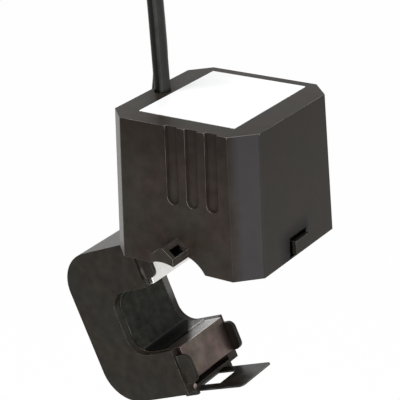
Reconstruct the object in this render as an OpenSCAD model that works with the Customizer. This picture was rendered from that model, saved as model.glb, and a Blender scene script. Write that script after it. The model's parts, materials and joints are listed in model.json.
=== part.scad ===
// Split-core current transformer: a drafted housing, a C-shaped jaw that swings on a hinge pin,
// a sprung latch plate and a thin lead tied up in a hank.
// The origin is on the axis of the conductor's seat. X runs from the hinge to the latch,
// Y runs along the conductor and Z points up through the housing.

/* [Housing] */
// Width of the housing across hinge and latch, at the joint face
body_w = 50; // [46:0.5:60]
// Depth of the housing along the conductor, at the joint face
body_d = 51.2; // [48:0.2:60]
// Height of the housing above the joint face
body_h = 42.8; // [42:0.2:60]
// Wall of the housing
wall = 2.2; // [1.6:0.1:2.3]
// Thickness of the housing's roof
roof = 2.5; // [1.5:0.1:3.5]
// Draft of the hinge and latch sides, in degrees
side_draft = 1.2; // [0.5:0.1:1.5]
// Draft of the front and back faces, in degrees
face_draft = 1.8; // [0.5:0.1:2]
// Flat on the two corners beside the latch
latch_chamfer = 6.5; // [3:0.1:8]
// Flat on the two corners beside the hinge
hinge_chamfer = 5.6; // [3:0.1:8]
// Thickness of the base plate that closes the housing
base_t = 2; // [1.4:0.1:3]

/* [Conductor seat] */
// Radius of the arch that seats the conductor
arch_r = 10.65; // [10:0.05:11]
// Height of the joint face above the conductor's axis
joint_z = 5.6; // [5:0.1:6]
// Wall of the trough behind the arch
trough_t = 1.5; // [1:0.1:2]

/* [Front grooves] */
// Number of grooves in the front face
groove_count = 3; // [1:1:3]
// Width of a groove
groove_w = 4; // [2:0.1:5]
// Distance from one groove to the next
groove_pitch = 6.6; // [5.5:0.1:7.4]
// Place of the first groove's middle across the face
groove_first_x = -0.9; // [-4:0.1:2]
// Height of the grooves' round ends above the joint face
groove_low = 19.7; // [14:0.1:28]
// Depth of a groove
groove_deep = 0.9; // [0.4:0.1:1.4]

/* [Tie lugs] */
// Width of a lug
lug_w = 7.7; // [5:0.1:10]
// Reach of a lug out of the face
lug_out = 7.9; // [5:0.1:10]
// Thickness of a lug over the top of the arch
lug_t = 4.7; // [3.6:0.1:5.6]
// Width of the flat on top of a lug, between its two slopes
lug_top_w = 1; // [0.4:0.1:3]
// Height of a lug's slopes
lug_slope_h = 2.6; // [1:0.1:3]
// Thickness of the wall at a lug's end, outside the slot
lug_end_t = 1.6; // [1:0.1:2.5]
// Length of the slot for the cable tie, along the lug
tie_slot_l = 4.4; // [3:0.1:5]
// Height of the slot for the cable tie
tie_slot_h = 1.6; // [1:0.1:1.8]
// Roof of the lug over the slot
tie_slot_roof = 0.9; // [0.6:0.1:1.2]

/* [Catch] */
// Width of the catch on the latch side
catch_w = 7.8; // [5:0.1:8]
// Place of the catch's middle along the conductor
catch_y = 0.5; // [0:0.1:0.6]
// Height of the catch's lower edge above the joint face
catch_low = 0.9; // [0.6:0.1:1.5]
// Height of the catch's upper edge above the joint face
catch_high = 5; // [3.5:0.1:5.1]
// Gap between the catch's upper edge and the shut latch plate
catch_shy_high = 0.7; // [0.3:0.05:1.3]
// Gap between the catch's lower edge and the shut latch plate
catch_shy_low = 0.3; // [0.1:0.05:1]
// Depth of the scooped pocket before and above the catch
pocket_deep = 1.5; // [0.6:0.1:1.6]
// Width of the rounded slope from the pocket's mouth down to its floor
pocket_margin = 2; // [1:0.1:3]
// Gap between the catch and the slope
pocket_gap = 0.5; // [0.2:0.1:1]
// Height of the sill between the pocket and the joint face
pocket_sill = 0.5; // [0.3:0.1:0.6]

/* [Jaw] */
// Overhang of the jaw past the housing on the hinge side and on the latch side
jaw_overhang = 0.3; // [0.2:0.05:0.5]
// Height of the jaw below its rim
jaw_h = 30.5; // [30:0.1:34]
// Depth of the jaw along the conductor
jaw_d = 28; // [28:0.2:32]
// Radius of the jaw's two outer corners
jaw_round = 11.5; // [8:0.1:12]
// Thickness of the jaw's floor
jaw_floor = 2; // [1.5:0.1:2.2]
// Wall of the jaw on its hinge side and its latch side
jaw_side_t = 3; // [2:0.1:3.2]
// Wall of the jaw on its front and back
jaw_face_t = 2.5; // [2:0.1:2.6]
// Width of the conductor's window in the jaw
window_w = 21.3; // [20:0.1:22]
// Depth of the window below the rim
window_deep = 15.5; // [14:0.1:16]
// Radius of the window's corners
window_round = 6; // [4:0.1:8]
// Gap between the rim and the joint face when shut
rim_gap = 0.15; // [0.1:0.05:0.4]
// Height of the four ears above the rim
ear_h = 4.7; // [4:0.1:6.4]
// Distance of an ear from the window's edge
ear_from_window = 2.2; // [1.5:0.1:4]
// Distance of an ear from the jaw's hinge side or latch side
ear_from_side = 3.1; // [3:0.1:6]
// Thickness of an ear
ear_t = 1.4; // [1:0.1:1.6]
// Distance of an ear from the inner face of the jaw's front or back wall
ear_inset = 0.1; // [0.05:0.05:0.5]
// Length of the recess in the rim beside the latch plate
rim_recess_l = 19; // [10:0.5:20]
// Depth of the recess in the rim beside the latch plate
rim_recess_deep = 4; // [1:0.5:6]
// Radius of an ear's upper corners
ear_round = 2.2; // [1:0.1:4]
// Angle through which the jaw hangs open
open_angle = 67.5; // [0:0.5:110]

/* [Cores] */
// Room between the cores and the jaw's sides
core_room = 0.35; // [0.2:0.05:0.6]
// Room between the cores and the jaw's front and back
core_end_room = 0.2; // [0.1:0.05:0.6]
// Height of the jaw core's poles above the rim
pole_proud = 1.5; // [0.5:0.1:2.5]
// Air gap between the poles when shut
pole_gap = 0.2; // [0.1:0.05:0.5]
// Radius of a core's outer corners
core_round = 11; // [9:0.1:12]
// Height of the upper core's back above the joint face
upper_core_top = 33; // [31:0.1:33]
// Gap between an end of the liner and the jaw's front or back
liner_end_gap = 0.35; // [0.1:0.05:0.6]
// Thickness of the liner in the jaw's window
liner_t = 0.6; // [0.4:0.1:0.8]
// Distance of the liner's upper edge below the rim
liner_low = 5; // [3:0.1:8]
// Thickness of the leaf spring under the jaw's core
leaf_t = 0.3; // [0.2:0.05:0.4]
// Bow of the leaf spring
leaf_bow = 0.6; // [0.4:0.05:0.8]
// Length of the leaf spring
leaf_l = 24; // [18:1:28]

/* [Winding] */
// Wall of the bobbin
bobbin_t = 1; // [0.6:0.1:1.1]
// Radial build of the winding
winding_t = 4.2; // [2:0.1:4.4]
// Thickness of the tape round the winding
tape_t = 0.3; // [0.2:0.05:0.4]
// Thickness of the terminal board
board_t = 1.2; // [0.8:0.1:1.4]
// Width of the terminal board
board_w = 18; // [12:0.5:18]
// Height of the terminal board
board_h = 16; // [10:0.5:18]
// Diameter of the burden resistor
resistor_d = 2; // [1.4:0.1:2]

/* [Hinge] */
// Distance of the hinge axis outside the housing's hinge side
hinge_out = 2.8; // [2.75:0.05:3.2]
// Diameter of the hinge pin
pin_d = 2.4; // [2:0.1:2.6]
// Diameter of the knuckle and of the housing's hinge lugs
knuckle_d = 5.2; // [4.6:0.1:5.3]
// Length of the jaw's knuckle
knuckle_l = 12; // [8:0.5:13]
// Length of each hinge lug
hinge_lug_l = 4; // [3:0.5:5]

/* [Latch plate] */
// Width of the latch plate
plate_w = 16.9; // [14:0.1:17]
// Thickness of the latch plate
plate_t = 0.5; // [0.4:0.05:0.6]
// Height of the plate's free edge above the rim
plate_top = 16.8; // [12:0.1:18]
// Depth of the plate's root below the rim
plate_root = 4.8; // [4.4:0.1:6]
// Gap between the jaw's side and the plate at the rim
plate_gap = 1; // [0.9:0.05:1.2]
// Outward lean of the plate, in degrees
plate_lean = 2.2; // [1.5:0.1:4]
// Width of the plate's window
slot_w = 9; // [8.8:0.1:11]
// Height of the window's upper edge above the rim
slot_high = 5.3; // [5.2:0.1:7]
// Depth of the window's lower edge below the rim
slot_low = 2.6; // [1:0.1:2.8]
// Cut on the plate's two free corners
plate_chamfer = 1; // [0.5:0.1:3]

/* [Label] */
// Size of the label across hinge and latch
label_w = 32.2; // [20:0.1:34]
// Size of the label along the conductor
label_d = 38.2; // [20:0.1:42]
// Thickness of the label
label_t = 0.2; // [0.1:0.05:0.4]
// Place of the label's middle across the roof
label_x = -0.2; // [-1:0.1:2]
// Place of the label's middle along the conductor
label_y = 1.6; // [-2:0.1:2]

/* [Lead] */
// Diameter of the lead
cord_d = 4.8; // [4:0.1:5]
// Diameter of the lead's hole in the roof
cord_hole_d = 5.2; // [5.2:0.1:6.5]
// Distance of the lead from the housing's hinge side, at the joint face
cord_in = 4.5; // [4.5:0.1:8]
// Diameter of the clamp under the roof
clamp_d = 9; // [8:0.1:12]
// Height of the clamp
clamp_h = 3.4; // [2:0.1:5]
// Turns of the hank beside each other
hank_columns = 2; // [2:1:2]
// Turns of the hank over each other
hank_layers = 2; // [2:1:2]
// Length of the hank's straight runs
hank_run = 42; // [30:1:60]
// Radius of the hank's innermost bend
hank_bend = 14.6; // [14.4:0.1:17]
// Length of jacket that leaves the hank
tail_l = 7; // [5:1:24]
// Diameter of a conductor's insulation
wire_d = 1.7; // [1.2:0.1:2]
// Length of a conductor beyond the jacket
wire_l = 7; // [5:1:24]
// Length of a tinned end
tip_l = 4; // [3:0.5:8]

/* [Hidden] */

$fn = 48;
// running clearance between a pin and its bore
play = 0.05;
// clearance between pieces that slide past or sit inside each other
slide = 0.2;
// clearance between pieces that are pressed together
snug = 0.02;
// overshoot of a cut past the face that it opens
past = 1;

plastic = [0.17, 0.155, 0.145];
jaw_plastic = [0.15, 0.14, 0.125];
liner_grey = [0.12, 0.125, 0.115];
core_metal = [0.62, 0.56, 0.54];
steel = [0.62, 0.62, 0.63];
copper = [0.62, 0.33, 0.18];
amber = [0.78, 0.6, 0.2];
cream = [0.86, 0.82, 0.7];
board_green = [0.1, 0.33, 0.2];
white = [0.95, 0.95, 0.94];
black = [0.04, 0.04, 0.045];
tin = [0.78, 0.78, 0.76];

// draft of the corner flats that keeps them as wide at the roof as at the joint face
corner_draft = atan((tan(side_draft) + tan(face_draft)) / sqrt(2));
arch_top = arch_r - joint_z;
roof_low = body_h - roof;
hinge_x = -body_w / 2 - hinge_out;

// the housing's eight sides: turn about Z, distance of the plane at the joint face, draft
function corner_reach(chamfer) = (body_w / 2 + body_d / 2 - chamfer) / sqrt(2);
SIDES = [
    [0, body_w / 2, side_draft],
    [45, corner_reach(latch_chamfer), corner_draft],
    [90, body_d / 2, face_draft],
    [135, corner_reach(hinge_chamfer), corner_draft],
    [180, body_w / 2, side_draft],
    [225, corner_reach(hinge_chamfer), corner_draft],
    [270, body_d / 2, face_draft],
    [315, corner_reach(latch_chamfer), corner_draft]
];

// cavity of the jaw, and the cores that fill it
jaw_w = body_w + 2 * jaw_overhang;
jaw_cavity_w = jaw_w - 2 * jaw_side_t;
jaw_cavity_d = jaw_d - 2 * jaw_face_t;
core_w = jaw_cavity_w - 2 * core_room;
core_d = jaw_cavity_d - 2 * core_end_room;
core_low = -jaw_h + jaw_floor + leaf_t + leaf_bow;
yoke_t = -window_deep - liner_t - core_low;
// inner face of the latch plate at the rim, and the bracket round its root
plate_x = jaw_w / 2 + plate_gap;
keeper_in = plate_x + plate_t;
keeper_t = 0.5;
keeper_h = 1.6;
cheek_t = 1.2;
// an ear's two ends across the jaw and its inner face
ear_in = window_w / 2 + ear_from_window;
ear_out = jaw_w / 2 - ear_from_side;
ear_y = jaw_cavity_d / 2 + ear_inset;
// how far a piece sinks into the wall that it grows out of
rooted = 0.3;
// room round the ears and poles in the base plate's notches
notch_room = 0.3;
// step from the arch out to the underside of a lug
lug_step = 0.4;

// upper core and its winding, above the joint face
upper_pole_low = pole_proud - rim_gap + pole_gap;
upper_yoke_low = upper_core_top - yoke_t;
bobbin_x = window_w / 2 - slide;
bore_y = core_d / 2 + slide;
wound_y = bore_y + bobbin_t + winding_t;
wound_grow = bobbin_t + winding_t + slide;
board_y = wound_y + tape_t;
board_low = upper_core_top - board_h;
inner_wire_d = 1;
// sideways place of each inner wire where it meets the lead
wire_apart = 0.65 * inner_wire_d;

// lead
cord_x = -body_w / 2 + cord_in;
cord_start = joint_z + roof_low - clamp_h;
// middle of the lead's hole at the roof's upper face
CORD_EXIT = [cord_x, 0, joint_z + body_h];
// The lead rises out of the roof, bends over behind the housing and hangs down to the hank.
// Each point is measured from where the lead leaves the roof.
CORD_STEPS = [
    [0, 0, 0], [-0.2, 0, 8.6], [-0.4, 0, 17.6], [-0.6, 0, 25.6], [-0.9, 0, 32.6], [-2.6, 2.1, 43.2],
    [-7, 8, 50.5], [-12.9, 16, 53.2], [-18.8, 24, 50.5], [-23.2, 29.9, 43.2], [-24.8, 32.1, 33.2],
    [-24.7, 32.1, 24.6], [-24.4, 32.1, 15.6], [-24.1, 32.1, 6.6], [-23.9, 32.1, -2.4],
    [-24.1, 31.4, -11.4], [-24.7, 29.4, -20.4], [-25.5, 27, -29.4], [-26.3, 25, -38.4],
    [-26.8, 23.9, -47.4], [-27.4, 23.3, -58.4], [-27.9, 22.9, -70.4], [-28.3, 22.7, -81.4],
    [-28.7, 22.4, -91.8]
];
CORD_ROUTE = concat([[cord_x, 0, cord_start]], [for (p = CORD_STEPS) CORD_EXIT + p]);
// middle of the hank, its turn about Z and its lean
HANK_AT = CORD_EXIT + [-43.8, 41.6, -70.8];
hank_turn = 35;
hank_lean = 3;
hank_out = hank_bend + (hank_layers - 0.5) * cord_d;
hank_in = hank_bend - cord_d / 2;
// strands over each other in the hank's near side, with the one that comes down outside it
near_layers = hank_layers + 1;
bundle = near_layers * cord_d + slide;
bundle_y = hank_in + bundle / 2;
// band round the hank, and its height above the hank's middle
tie_t = 0.8;
tie_h = 4;
tie_z = 12;
// place of the jacket's last stretch: below the near side of the hank, in its outer layer
tail_y = -hank_bend - (hank_layers - 1) * cord_d;
tail_x = -(hank_columns - 1) * cord_d / 2;
tail_top = -hank_run / 2 - sqrt(pow(hank_out, 2) - pow(tail_y + cord_d / 2, 2)) - slide;
wire_top = tail_top - tail_l;
tip_top = wire_top - wire_l;

// ---- shared shapes ----

// everything inside one leaning plane: its turn about Z, its distance at z = 0 and its draft
module half_space(turn, reach, draft) {
    big = 4 * body_h;
    rotate([0, 0, turn])
        translate([reach, 0, 0])
            rotate([0, -draft, 0])
                translate([-big, -big / 2, -big / 4]) cube(big);
}

// the housing's eight-sided drafted block, moved in by inset and cut between two heights
module drafted(inset, low, high) {
    intersection() {
        translate([-body_w, -body_d, low]) cube([2 * body_w, 2 * body_d, high - low]);
        intersection_for (side = SIDES) half_space(side[0], side[1] - inset, side[2]);
    }
}

// a flat outline in X and Z made a slab of depth d, centred on Y
module slab(d) {
    rotate([90, 0, 0]) linear_extrude(d, center = true) children();
}

// a cylinder along Y, centred on y = 0
module rod(d, l) {
    rotate([90, 0, 0]) cylinder(d = d, h = l, center = true);
}

// outline with its top edge on the X axis and two round lower corners
module round_floor(w, h, r) {
    translate([-w / 2, r - h]) square([w, h - r]);
    translate([r - w / 2, -h]) square([w - 2 * r, h]);
    for (s = [-1, 1]) translate([s * (w / 2 - r), r - h]) circle(r);
}

// outline that stands on the X axis and has two round upper corners
module round_top(w, h, r) {
    mirror([0, 1]) round_floor(w, h, r);
}

// the conductor's cylinder, seen from the joint face
module conductor(extra) {
    translate([0, 0, -joint_z]) rod(2 * (arch_r + extra), 3 * body_d);
}

// moves the jaw's pieces from their shut place to where the jaw hangs
module hung() {
    translate([hinge_x, 0, joint_z])
        rotate([0, open_angle, 0])
            translate([-hinge_x, 0, -rim_gap]) children();
}

// moves the housing's pieces to the joint face
module above() {
    translate([0, 0, joint_z]) children();
}

// ---- swept wires and lead ----

// point on the smooth curve through a, b, c and d, between b and c
function smooth(a, b, c, d, t) =
    0.5 * (2 * b + (c - a) * t + (2 * a - 5 * b + 4 * c - d) * t * t
           + (3 * b - a - 3 * c + d) * t * t * t);

// the smooth curve through all the points of a route, with n steps from each to the next
function curve(p, n) = [
    for (i = [0 : len(p) - 2], k = [0 : n - 1])
        smooth(p[max(i - 1, 0)], p[i], p[i + 1], p[min(i + 2, len(p) - 1)], k / n),
    p[len(p) - 1]
];

function unit(v) = v / norm(v);

// direction of a line of points at its point i
function heading(p, i) = unit(p[min(i + 1, len(p) - 1)] - p[max(i - 1, 0)]);

// a round tube along a line of points; side is a direction that the line never takes
module sweep(p, d, sides, side) {
    rings = [
        for (i = [0 : len(p) - 1])
            let (t = heading(p, i), u = unit(cross(t, side)), v = cross(u, t))
                for (k = [0 : sides - 1])
                    p[i] + d / 2 * (cos(360 * k / sides) * v + sin(360 * k / sides) * u)
    ];
    last = (len(p) - 1) * sides;
    walls = [
        for (i = [0 : len(p) - 2], k = [0 : sides - 1])
            let (a = i * sides + k, b = i * sides + (k + 1) % sides)
                each [[a, b, b + sides], [a, b + sides, a + sides]]
    ];
    near = [for (k = [sides - 1 : -1 : 0]) k];
    far = [for (k = [0 : sides - 1]) last + k];
    polyhedron(rings, concat([near, far], walls));
}

// ---- housing ----

// a gabled block over the arch, with a slot across it that takes a cable tie
module tie_lug() {
    top = arch_top + lug_t;
    end_y = -body_d / 2 - lug_out;
    difference() {
        translate([0, end_y + (lug_out + wall) / 2, 0]) slab(lug_out + wall)
            polygon([
                [-lug_w / 2, 0], [lug_w / 2, 0], [lug_w / 2, top - lug_slope_h],
                [lug_top_w / 2, top], [-lug_top_w / 2, top], [-lug_w / 2, top - lug_slope_h]
            ]);
        conductor(lug_step);
        translate([-lug_w, end_y + lug_end_t, top - tie_slot_roof - tie_slot_h])
            cube([2 * lug_w, tie_slot_l, tie_slot_h]);
    }
}

// one of the two hinge lugs, with the web that joins it to the housing's side
module hinge_lug() {
    web_h = knuckle_d + 1;
    middle = (knuckle_l + hinge_lug_l) / 2 + slide;
    translate([0, middle, 0]) {
        translate([hinge_x, 0, 0]) rod(knuckle_d, hinge_lug_l);
        slab(hinge_lug_l)
            polygon([
                [hinge_x - knuckle_d / 2 * cos(30), knuckle_d / 2 * sin(30)],
                [hinge_x, 0], [-body_w / 2 + rooted, 0], [-body_w / 2 + rooted, web_h]
            ]);
    }
}

// rounded slope from a pocket's mouth down to its floor: distance from the floor's edge, depth
function slope(w, deep) = [
    for (a = [0 : 15 : 90]) [w * (1 - sin(a)), deep * (1 - cos(a))]
];

// scooped pocket in the latch side, before and above the catch, with one slope for each
module pocket() {
    before = catch_w / 2 + pocket_gap;
    over = catch_high + pocket_gap;
    far = catch_w / 2 - rooted;
    lip = slope(pocket_margin, pocket_deep);
    translate([body_w / 2, catch_y, 0]) intersection() {
        translate([0, 0, pocket_sill]) linear_extrude(body_h)
            polygon(concat(
                [[past, far], [-pocket_deep, far]],
                [for (i = [len(lip) - 1 : -1 : 0]) [-lip[i][1], -before - lip[i][0]]],
                [[past, -before - pocket_margin]]
            ));
        slab(body_d)
            polygon(concat(
                [[past, -past], [-pocket_deep, -past]],
                [for (i = [len(lip) - 1 : -1 : 0]) [-lip[i][1], over + lip[i][0]]],
                [[past, over + pocket_margin]]
            ));
    }
}

// wedge in the latch plate's window; the shut plate clears it
module catch() {
    root = body_w / 2 - wall + rooted;
    lean = tan(plate_lean);
    translate([0, catch_y, 0]) slab(catch_w)
        polygon([
            [root, catch_low], [plate_x + catch_low * lean - catch_shy_low, catch_low],
            [plate_x + catch_high * lean - catch_shy_high, catch_high], [root, catch_high]
        ]);
}

// round-ended grooves that run down from the front face's upper edge
module grooves() {
    for (i = [0 : groove_count - 1])
        translate([groove_first_x + i * groove_pitch, -body_d / 2, 0])
            rotate([-face_draft, 0, 0])
                translate([0, groove_deep, groove_low + groove_w / 2]) {
                    rod(groove_w, 2 * groove_deep);
                    translate([-groove_w / 2, -groove_deep, 0])
                        cube([groove_w, 2 * groove_deep, body_h]);
                }
}

module housing_shell() {
    color(plastic) above() {
        difference() {
            union() {
                drafted(0, 0, body_h);
                for (s = [0, 1]) mirror([0, s, 0]) {
                    tie_lug();
                    hinge_lug();
                }
            }
            drafted(wall, -past, roof_low);
            conductor(0);
            translate([0, -groove_deep, 0]) grooves();
            translate([cord_x, 0, roof_low - clamp_h - past])
                cylinder(d = cord_hole_d, h = roof + clamp_h + 2 * past);
            pocket();
            translate([hinge_x, 0, 0]) rod(pin_d + 2 * snug, body_d);
            translate([hinge_x, 0, 0]) rod(knuckle_d + 2 * slide, knuckle_l + 2 * slide);
        }
        catch();
    }
}

// closes the housing: the trough for the conductor and two notches for the poles and ears
module base_plate() {
    color(plastic) above() difference() {
        intersection() {
            drafted(wall + snug, 0, body_h);
            union() {
                translate([-body_w, -body_d, 0]) cube([2 * body_w, 2 * body_d, base_t]);
                conductor(trough_t);
            }
        }
        conductor(0);
        for (s = [-1, 1])
            translate([s * (window_w / 2 - notch_room + body_w / 2), 0, base_t / 2])
                cube([body_w, 2 * (ear_y + ear_t + notch_room), base_t + 2 * past], center = true);
    }
}

module label() {
    color(white) above()
        translate([label_x - label_w / 2, label_y - label_d / 2, body_h])
            cube([label_w, label_d, label_t]);
}

// U-shaped core of cut strip, poles down
module upper_core() {
    h = upper_core_top - upper_pole_low;
    color(core_metal) above() slab(core_d) difference() {
        translate([0, upper_pole_low]) round_top(core_w, h, core_round);
        translate([-window_w / 2, upper_pole_low - past]) square([window_w, h - yoke_t + past]);
    }
}

// rectangular ring about the upper core's yoke, between two distances from it
module yoke_ring(inner, outer, length) {
    mid = (upper_yoke_low + upper_core_top) / 2;
    above() translate([0, 0, mid]) difference() {
        cube([length, core_d + 2 * outer, yoke_t + 2 * outer], center = true);
        cube([length + past, core_d + 2 * inner, yoke_t + 2 * inner], center = true);
    }
}

module bobbin() {
    color(cream) {
        yoke_ring(slide, slide + bobbin_t, 2 * bobbin_x);
        for (s = [-1, 1])
            translate([s * (bobbin_x - bobbin_t / 2), 0, 0])
                yoke_ring(slide, wound_grow + tape_t, bobbin_t);
    }
}

module winding() {
    color(copper)
        yoke_ring(slide + bobbin_t, wound_grow, 2 * (bobbin_x - bobbin_t));
}

module winding_tape() {
    color(amber)
        yoke_ring(wound_grow, wound_grow + tape_t, 2 * (bobbin_x - bobbin_t));
}

module terminal_board() {
    color(board_green) above()
        translate([-board_w / 2, board_y, board_low]) cube([board_w, board_t, board_h]);
}

module burden_resistor() {
    color(cream) above()
        translate([0, board_y + board_t + resistor_d / 2, board_low + board_h / 2])
            rotate([0, 90, 0]) {
                cylinder(d = resistor_d, h = board_w / 3, center = true);
                cylinder(d = resistor_d / 3, h = board_w / 2, center = true);
            }
}

// a thin wire from the terminal board's edge, round the winding, to the lead inside the roof
module inner_wire(side) {
    high = cord_start - slide;
    from = joint_z + board_low + board_h / 2 + 2 * side * inner_wire_d;
    out = -board_w / 2 - slide;
    route = [
        [out, board_y + board_t / 2, from],
        [out - 2.4 * inner_wire_d, board_y + 0.4 * inner_wire_d, from + inner_wire_d],
        [cord_x + (6.3 + side) * inner_wire_d, board_y - 3.4 * inner_wire_d,
         high - 4.6 * inner_wire_d],
        [cord_x + 2.5 * inner_wire_d + side * wire_apart, board_y / 2, high - 2 * inner_wire_d],
        [cord_x + side * wire_apart, 1.8 * inner_wire_d, high - 1.6 * inner_wire_d],
        [cord_x + side * wire_apart, 0, high]
    ];
    sweep(curve(route, 3), inner_wire_d, 8, [1, 1, 0]);
}

module inner_wire_black() { color(black) inner_wire(-1); }

module inner_wire_white() { color(white) inner_wire(1); }

// collar that grips the lead under the roof, cut flat where it meets the housing's side
module cord_clamp() {
    color(black) above() difference() {
        intersection() {
            translate([cord_x, 0, roof_low - clamp_h])
                cylinder(d = clamp_d, h = clamp_h - snug);
            drafted(wall + snug, 0, body_h);
        }
        translate([cord_x, 0, 0]) cylinder(d = cord_d + 2 * snug, h = body_h);
    }
}

module hinge_pin() {
    color(steel) above()
        translate([hinge_x, 0, 0]) rod(pin_d, knuckle_l + 2 * (hinge_lug_l + slide));
}

// ---- jaw ----

module ears() {
    for (x = [-1, 1], y = [-1, 1])
        translate([x * (ear_in + ear_out) / 2, y * (ear_y + ear_t / 2), -past])
            slab(ear_t) round_top(ear_out - ear_in, ear_h + past, ear_round);
}

// knuckle between the housing's lugs, with the web that joins it to the jaw's side
module jaw_knuckle() {
    translate([hinge_x, 0, rim_gap]) rod(knuckle_d, knuckle_l);
    slab(knuckle_l)
        polygon([
            [hinge_x - knuckle_d / 2 * cos(20), -knuckle_d / 2 * sin(20)],
            [hinge_x, 0], [-jaw_w / 2 + rooted, 0], [-jaw_w / 2 + rooted, -knuckle_d]
        ]);
}

// two cheeks and a bar that hold the root of the latch plate against the jaw's side
module plate_keeper() {
    low = -plate_root - slide;
    wide = plate_w + 2 * slide;
    reach = keeper_in + keeper_t - jaw_w / 2 + rooted;
    for (s = [-1, 1])
        translate([jaw_w / 2 - rooted, s * (wide + cheek_t) / 2 - cheek_t / 2, low])
            cube([reach, cheek_t, -low]);
    translate([keeper_in, -wide / 2 - rooted, low]) cube([keeper_t, wide + 2 * rooted, keeper_h]);
}

// recess in the latch side's rim, between the pole and the latch plate
module rim_recess() {
    skin = 1;
    translate([jaw_cavity_w / 2 - rooted, -rim_recess_l / 2, -rim_recess_deep])
        cube([jaw_side_t - skin + rooted, rim_recess_l, rim_recess_deep + past]);
}

module jaw_shell() {
    lug_relief = knuckle_d + 3 * slide;
    relief_l = knuckle_l + 2 * hinge_lug_l + 5 * slide;
    color(jaw_plastic) hung() difference() {
        union() {
            difference() {
                slab(jaw_d) round_floor(jaw_w, jaw_h, jaw_round);
                translate([hinge_x, 0, rim_gap]) rod(lug_relief, relief_l);
            }
            ears();
            jaw_knuckle();
            plate_keeper();
        }
        rim_recess();
        translate([0, 0, past]) slab(jaw_d + past)
            round_floor(window_w, window_deep + past, window_round);
        translate([0, 0, past + ear_h]) slab(jaw_cavity_d)
            round_floor(jaw_cavity_w, jaw_h - jaw_floor + past + ear_h, jaw_round - jaw_side_t);
        translate([hinge_x, 0, rim_gap]) rod(pin_d + 2 * play, jaw_d);
    }
}

// thin liner pressed into the window between the front and back walls
module window_liner() {
    top = -liner_low;
    color(liner_grey) hung() slab(jaw_cavity_d - 2 * liner_end_gap) difference() {
        intersection() {
            round_floor(window_w - 2 * snug, window_deep + liner_t - snug, window_round + liner_t);
            translate([-window_w, -jaw_h]) square([2 * window_w, jaw_h + top]);
        }
        round_floor(window_w - 2 * liner_t, window_deep, window_round);
    }
}

// U-shaped core of cut strip, poles up
module jaw_core() {
    color(core_metal) hung() slab(core_d) difference() {
        translate([0, pole_proud]) round_floor(core_w, pole_proud - core_low, core_round);
        translate([0, pole_proud + past])
            round_floor(window_w, window_deep + liner_t + pole_proud + past, window_round + liner_t);
    }
}

// bowed strip that presses the jaw's core against the upper one
module leaf_spring() {
    floor_z = -jaw_h + jaw_floor;
    bend = (leaf_l * leaf_l / 4 + leaf_bow * leaf_bow) / (2 * leaf_bow);
    color(steel) hung() slab(core_d / 2) intersection() {
        translate([0, floor_z + leaf_bow + leaf_t - bend - snug]) difference() {
            circle(bend, $fn = 360);
            circle(bend - leaf_t, $fn = 360);
        }
        translate([-leaf_l / 2, floor_z + snug]) square([leaf_l, leaf_bow + leaf_t]);
    }
}

// sprung plate with the window that fits over the catch, its two free corners cut
module latch_plate() {
    half = plate_w / 2;
    color(jaw_plastic) hung()
        translate([plate_x, 0, 0]) rotate([0, plate_lean, 0])
            rotate([90, 0, 90]) linear_extrude(plate_t) difference() {
                polygon([
                    [-half, -plate_root], [half, -plate_root], [half, plate_top - plate_chamfer],
                    [half - plate_chamfer, plate_top], [plate_chamfer - half, plate_top],
                    [-half, plate_top - plate_chamfer]
                ]);
                translate([-slot_w / 2, -slot_low]) square([slot_w, slot_low + slot_high]);
            }
}

// ---- lead ----

// places a shape that is flat in Y and Z where the hank hangs
module at_hank() {
    translate(HANK_AT) rotate([0, 0, hank_turn]) rotate([0, hank_lean, 0]) children();
}

// long loop of radius r, flat in Y and Z, of thickness t
module loop(r, t) {
    for (s = [-1, 1])
        translate([0, 0, s * hank_run / 2]) rotate([0, 90, 0]) cylinder(r = r, h = t, center = true);
    cube([t, 2 * r, hank_run], center = true);
}

module cord() {
    color(black) sweep(curve(CORD_ROUTE, 3), cord_d, 10, [cos(hank_turn), sin(hank_turn), 0]);
}

module cord_hank() {
    thick = hank_columns * cord_d;
    color(black) at_hank() difference() {
        loop(hank_out, thick);
        loop(hank_in, thick + past);
    }
}

// band round the strands on the hank's near side
module hank_tie() {
    color(black) at_hank() translate([0, -bundle_y, tie_z]) difference() {
        cube([hank_columns * cord_d + 2 * (tie_t + slide), bundle + 2 * (tie_t + slide), tie_h],
             center = true);
        cube([hank_columns * cord_d + 2 * slide, bundle + 2 * slide, tie_h + past], center = true);
    }
}

module tail_piece(d, top, l, shift) {
    at_hank() translate([tail_x, tail_y + shift, top - l]) cylinder(d = d, h = l);
}

module cord_tail() {
    color(black) tail_piece(cord_d, tail_top, tail_l, 0);
}

module wire_black() { color(black) tail_piece(wire_d, wire_top, wire_l, -wire_d / 2 - snug); }

module wire_white() { color(white) tail_piece(wire_d, wire_top, wire_l, wire_d / 2 + snug); }

module tip_black() { color(tin) tail_piece(wire_d / 2, tip_top, tip_l, -wire_d / 2 - snug); }

module tip_white() { color(tin) tail_piece(wire_d / 2, tip_top, tip_l, wire_d / 2 + snug); }

housing_shell();
base_plate();
label();
upper_core();
bobbin();
winding();
winding_tape();
terminal_board();
burden_resistor();
inner_wire_black();
inner_wire_white();
cord_clamp();
hinge_pin();
jaw_shell();
window_liner();
jaw_core();
leaf_spring();
latch_plate();
cord();
cord_hank();
hank_tie();
cord_tail();
wire_black();
wire_white();
tip_black();
tip_white();
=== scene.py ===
# %% [markdown]
# # A split-core current transformer
# This sensor closes round a cable and measures the current in it. The housing holds one half of
# an iron core and its winding, and a jaw with the other half swings down on a hinge pin.
# The frame comes from the packed model, and every new piece below is placed in its coordinates.

# %% The frame
import math
import json

import bmesh
import bpy
import numpy as np
from mathutils import Matrix, Vector

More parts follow.
